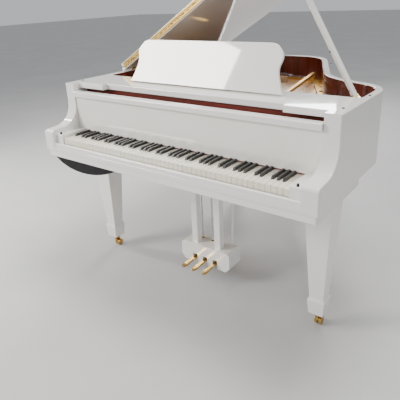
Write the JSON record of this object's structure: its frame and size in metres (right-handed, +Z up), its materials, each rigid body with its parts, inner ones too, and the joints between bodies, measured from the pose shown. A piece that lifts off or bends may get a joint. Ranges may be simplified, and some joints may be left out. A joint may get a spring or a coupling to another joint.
{
  "type": "grand piano",
  "caption": "White polished baby grand piano with its lid raised on a prop, keyboard open, music desk up, tapered legs on brass casters and a pedal lyre.",
  "frame": {"origin": "on the floor, below the middle of the overall width and of the overall length", "axes": "+X to the treble end of the keyboard, +Y from the player towards the tail, +Z up from the floor"},
  "size_m": [1.46, 1.51, 1.7766],
  "materials": {
    "white_lacquer": "polished white lacquer over wood",
    "mahogany": "polished red-brown veneer",
    "rim_wood": "satin varnish",
    "action_wood": "plain",
    "spruce": "clear varnish",
    "gold_iron": "gold lacquer",
    "steel": "drawn",
    "copper_wound": "wound wire",
    "damper_black": "black lacquer",
    "brass": "polished",
    "rubber": "matte",
    "ivory": "polished",
    "ebony": "satin",
    "red_felt": "felt",
    "black_plastic": "fine texture"
  },
  "bodies": {
    "case": {"outer_rim": "white_lacquer", "rim_lining": "mahogany", "inner_rim": "rim_wood", "arm_left": "white_lacquer", "arm_right": "white_lacquer", "keybed": "white_lacquer", "keyslip": "white_lacquer", "key_blocks": "white_lacquer", "rubber_buttons": "rubber", "action": "action_wood", "white_keys": "ivory", "black_keys": "ebony", "nameboard_felt": "red_felt", "music_rail": "mahogany", "side_shelves": "white_lacquer", "case_beams": "rim_wood", "pinblock": "rim_wood", "soundboard": "spruce", "bridges": "rim_wood", "iron_plate": "gold_iron", "tuning_pins": "steel", "bass_strings": "copper_wound", "treble_strings": "steel", "dampers": "damper_black", "case_hinges": "brass", "prop_bracket": "brass", "leg_left": "white_lacquer", "leg_right": "white_lacquer", "leg_rear": "white_lacquer", "lyre_frame": "white_lacquer", "pedal_box": "white_lacquer", "lyre_braces": "white_lacquer", "control_unit": "black_plastic"},
    "lid": {"lid_panel": "white_lacquer", "lid_hinges": "brass", "prop_cup": "white_lacquer", "flap_hinge": "brass"},
    "flap": {"lid_flap": "white_lacquer"},
    "prop": {"prop_stick": "white_lacquer"},
    "short_prop": {"short_prop": "white_lacquer"},
    "fallboard": {"fallboard": "white_lacquer"},
    "tray": {"music_tray": "white_lacquer"},
    "desk": {"music_desk": "white_lacquer"},
    "pedal_left": {"pedal_left": "brass"},
    "pedal_rod_left": {"pedal_rod_left": "steel"},
    "pedal_middle": {"pedal_middle": "brass"},
    "pedal_rod_middle": {"pedal_rod_middle": "steel"},
    "pedal_right": {"pedal_right": "brass"},
    "pedal_rod_right": {"pedal_rod_right": "steel"},
    "yoke_left": {"caster_yoke_left": "brass"},
    "wheels_left": {"caster_wheels_left": "brass"},
    "yoke_right": {"caster_yoke_right": "brass"},
    "wheels_right": {"caster_wheels_right": "brass"},
    "yoke_rear": {"caster_yoke_rear": "brass"},
    "wheels_rear": {"caster_wheels_rear": "brass"},
    "key_c4": {"key_c4": "ivory"},
    "key_c_sharp4": {"key_c_sharp4": "ebony"},
    "key_d4": {"key_d4": "ivory"},
    "key_d_sharp4": {"key_d_sharp4": "ebony"},
    "key_e4": {"key_e4": "ivory"}
  },
  "joints": [
    {"name": "lid_hinge", "type": "hinge", "parent": "case", "child": "lid", "pos_m": [-0.718, 0, 0.993], "axis": [0, -1, 0], "range_deg": [0, 45]},
    {"name": "flap_hinge", "type": "hinge", "parent": "lid", "child": "flap", "pos_m": [-0.11312, -0.188, 1.38009], "axis": [0.8526, 0, 0.5225], "range_deg": [0, 180]},
    {"name": "prop_pivot", "type": "hinge", "parent": "case", "child": "prop", "pos_m": [0.652, -0.239, 0.968], "axis": [-0.6358, -0.7144, -0.2923], "range_deg": [0, 60]},
    {"name": "short_prop_pivot", "type": "hinge", "parent": "prop", "child": "short_prop", "pos_m": [0.62159, -0.22668, 1.00405], "axis": [-0.6358, -0.7144, -0.2923], "range_deg": [0, 30]},
    {"name": "fallboard_pivot", "type": "hinge", "parent": "case", "child": "fallboard", "pos_m": [0, -0.58, 0.79], "axis": [1, 0, 0], "range_deg": [0, 90]},
    {"name": "tray_slide", "type": "slide", "parent": "case", "child": "tray", "axis": [0, 1, 0], "range_m": [0, 0.1]},
    {"name": "desk_pivot", "type": "hinge", "parent": "tray", "child": "desk", "pos_m": [0, -0.415, 0.9915], "axis": [-1, 0, 0], "range_deg": [0, 70]},
    {"name": "pedal_left_pivot", "type": "hinge", "parent": "case", "child": "pedal_left", "pos_m": [-0.062, -0.38, 0.092], "axis": [1, 0, 0], "range_deg": [0, 6], "stiffness_Nm_per_rad": 8, "springref_deg": -5.73},
    {"name": "pedal_left_rod_slide", "type": "slide", "parent": "case", "child": "pedal_rod_left", "axis": [0, 0, 1], "range_m": [0, 0.004]},
    {"name": "pedal_middle_pivot", "type": "hinge", "parent": "case", "child": "pedal_middle", "pos_m": [0, -0.38, 0.092], "axis": [1, 0, 0], "range_deg": [0, 6], "stiffness_Nm_per_rad": 8, "springref_deg": -5.73},
    {"name": "pedal_middle_rod_slide", "type": "slide", "parent": "case", "child": "pedal_rod_middle", "axis": [0, 0, 1], "range_m": [0, 0.004]},
    {"name": "pedal_right_pivot", "type": "hinge", "parent": "case", "child": "pedal_right", "pos_m": [0.062, -0.38, 0.092], "axis": [1, 0, 0], "range_deg": [0, 6], "stiffness_Nm_per_rad": 8, "springref_deg": -5.73},
    {"name": "pedal_right_rod_slide", "type": "slide", "parent": "case", "child": "pedal_rod_right", "axis": [0, 0, 1], "range_m": [0, 0.004]},
    {"name": "caster_left_swivel", "type": "hinge", "parent": "case", "child": "yoke_left", "pos_m": [-0.63, -0.455, 0.072], "axis": [0, 0, 1], "continuous": true},
    {"name": "caster_left_roll", "type": "hinge", "parent": "yoke_left", "child": "wheels_left", "pos_m": [-0.63, -0.441, 0.019], "axis": [1, 0, 0], "continuous": true},
    {"name": "caster_right_swivel", "type": "hinge", "parent": "case", "child": "yoke_right", "pos_m": [0.63, -0.455, 0.072], "axis": [0, 0, 1], "continuous": true},
    {"name": "caster_right_roll", "type": "hinge", "parent": "yoke_right", "child": "wheels_right", "pos_m": [0.63, -0.441, 0.019], "axis": [1, 0, 0], "continuous": true},
    {"name": "caster_rear_swivel", "type": "hinge", "parent": "case", "child": "yoke_rear", "pos_m": [-0.36, 0.445, 0.072], "axis": [0, 0, 1], "continuous": true},
    {"name": "caster_rear_roll", "type": "hinge", "parent": "yoke_rear", "child": "wheels_rear", "pos_m": [-0.36, 0.459, 0.019], "axis": [1, 0, 0], "continuous": true},
    {"name": "key_c4_pivot", "type": "hinge", "parent": "case", "child": "key_c4", "pos_m": [0, -0.5134, 0.712], "axis": [1, 0, 0], "range_deg": [0, 2.6], "stiffness_Nm_per_rad": 2, "springref_deg": -3.44},
    {"name": "key_c_sharp4_pivot", "type": "hinge", "parent": "case", "child": "key_c_sharp4", "pos_m": [0, -0.5134, 0.712], "axis": [1, 0, 0], "range_deg": [0, 2.6], "stiffness_Nm_per_rad": 2, "springref_deg": -3.44},
    {"name": "key_d4_pivot", "type": "hinge", "parent": "case", "child": "key_d4", "pos_m": [0, -0.5134, 0.712], "axis": [1, 0, 0], "range_deg": [0, 2.6], "stiffness_Nm_per_rad": 2, "springref_deg": -3.44},
    {"name": "key_d_sharp4_pivot", "type": "hinge", "parent": "case", "child": "key_d_sharp4", "pos_m": [0, -0.5134, 0.712], "axis": [1, 0, 0], "range_deg": [0, 2.6], "stiffness_Nm_per_rad": 2, "springref_deg": -3.44},
    {"name": "key_e4_pivot", "type": "hinge", "parent": "case", "child": "key_e4", "pos_m": [0, -0.5134, 0.712], "axis": [1, 0, 0], "range_deg": [0, 2.6], "stiffness_Nm_per_rad": 2, "springref_deg": -3.44}
  ],
  "couplings": [
    {"joint": "pedal_left_rod_slide", "follows": "pedal_left_pivot", "m_per_rad": 0.035},
    {"joint": "pedal_middle_rod_slide", "follows": "pedal_middle_pivot", "m_per_rad": 0.035},
    {"joint": "pedal_right_rod_slide", "follows": "pedal_right_pivot", "m_per_rad": 0.035}
  ]
}
